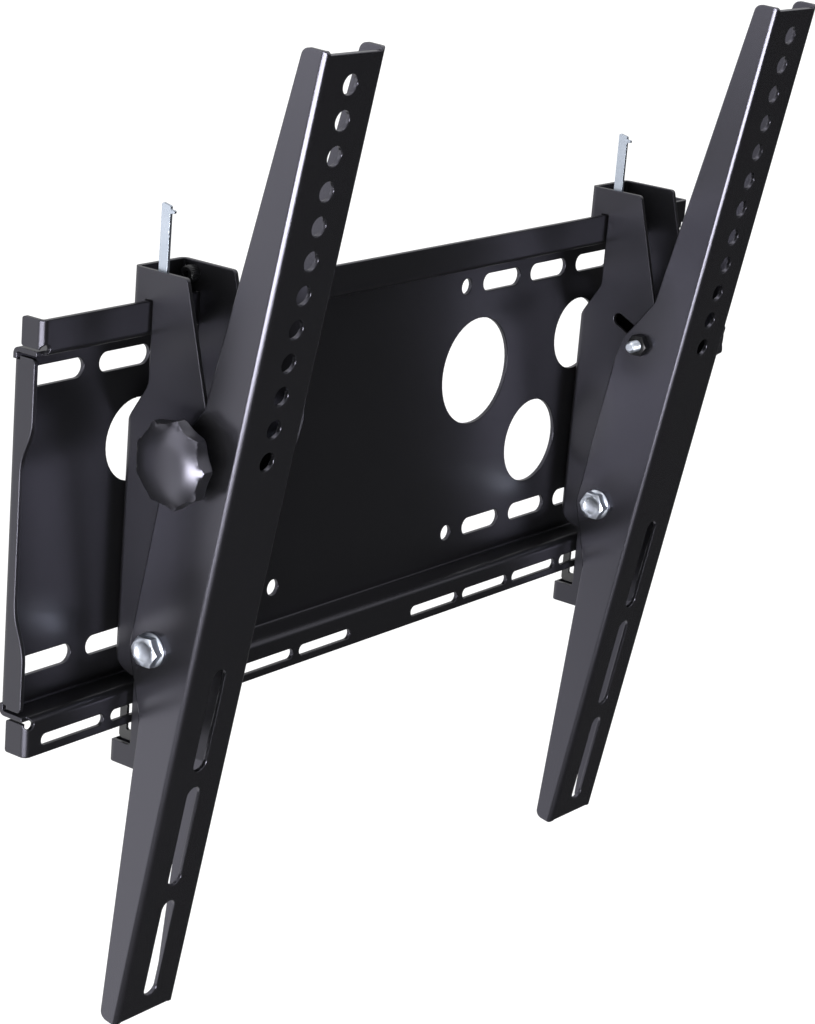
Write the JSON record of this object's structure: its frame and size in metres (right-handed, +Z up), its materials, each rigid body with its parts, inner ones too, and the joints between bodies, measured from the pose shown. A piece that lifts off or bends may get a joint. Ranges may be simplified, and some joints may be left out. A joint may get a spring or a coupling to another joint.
{
  "type": "tilting tv wall bracket",
  "caption": "Black steel wall bracket for a flat television: a slotted wall plate, hook brackets that slide along its rails, tilting arms with clamping knobs and lock bars.",
  "frame": {"origin": "middle of the wall plate's back face", "axes": "+X to the right along the rails, +Y into the wall, +Z up"},
  "size_m": [0.48, 0.1033, 0.4506],
  "materials": {
    "powder_coat": "satin black powder coat on folded steel sheet",
    "knob_plastic": "moulded, low gloss",
    "zinc": "bright zinc plate",
    "black_steel": "black oxide",
    "nylon": "natural nylon"
  },
  "bodies": {
    "wall_plate": {"wall_plate": "powder_coat"},
    "left_bracket": {"left_hook_bracket": "powder_coat", "left_bar_keepers": "zinc", "hook_screw": "black_steel", "hook_screw_nut": "black_steel"},
    "left_tilting_arm": {"left_arm": "powder_coat", "left_pivot_bolt": "zinc", "left_pivot_nut": "zinc", "left_pivot_washer": "zinc", "left_pivot_spacers": "nylon", "left_stud_spacers": "nylon", "left_stud_nut": "black_steel"},
    "left_clamp": {"left_knob": "knob_plastic", "left_knob_stud": "zinc", "left_stud_washer": "zinc"},
    "left_lock": {"left_lock_bar": "zinc"},
    "right_bracket": {"right_hook_bracket": "powder_coat", "right_bar_keepers": "zinc"},
    "right_tilting_arm": {"right_arm": "powder_coat", "right_pivot_bolt": "zinc", "right_pivot_nut": "zinc", "right_pivot_washer": "zinc", "right_pivot_spacers": "nylon", "right_stud_spacers": "nylon", "right_stud_nut": "black_steel"},
    "right_clamp": {"right_knob": "knob_plastic", "right_knob_stud": "zinc", "right_stud_washer": "zinc"},
    "right_lock": {"right_lock_bar": "zinc"}
  },
  "joints": [
    {"name": "left_bracket_slide", "type": "slide", "parent": "wall_plate", "child": "left_bracket", "axis": [1, 0, 0], "range_m": [-0.06, 0.13]},
    {"name": "left_tilt", "type": "hinge", "parent": "left_bracket", "child": "left_tilting_arm", "pos_m": [-0.1612, 0.01374, -0.05176], "axis": [-1, 0, 0], "range_deg": [0, 10.3]},
    {"name": "left_knob_turn", "type": "hinge", "parent": "left_tilting_arm", "child": "left_clamp", "pos_m": [-0.1612, -0.04618, 0.03334], "axis": [-1, 0, 0], "continuous": true},
    {"name": "left_lock_slide", "type": "slide", "parent": "left_bracket", "child": "left_lock", "axis": [0, 0, 1], "range_m": [-0.01, 0]},
    {"name": "right_bracket_slide", "type": "slide", "parent": "wall_plate", "child": "right_bracket", "axis": [1, 0, 0], "range_m": [-0.147, 0.0425]},
    {"name": "right_tilt", "type": "hinge", "parent": "right_bracket", "child": "right_tilting_arm", "pos_m": [0.1786, 0.01374, -0.05176], "axis": [-1, 0, 0], "range_deg": [0, 10.3]},
    {"name": "right_knob_turn", "type": "hinge", "parent": "right_tilting_arm", "child": "right_clamp", "pos_m": [0.1786, -0.04618, 0.03334], "axis": [1, 0, 0], "continuous": true},
    {"name": "right_lock_slide", "type": "slide", "parent": "right_bracket", "child": "right_lock", "axis": [0, 0, 1], "range_m": [-0.01, 0]}
  ]
}
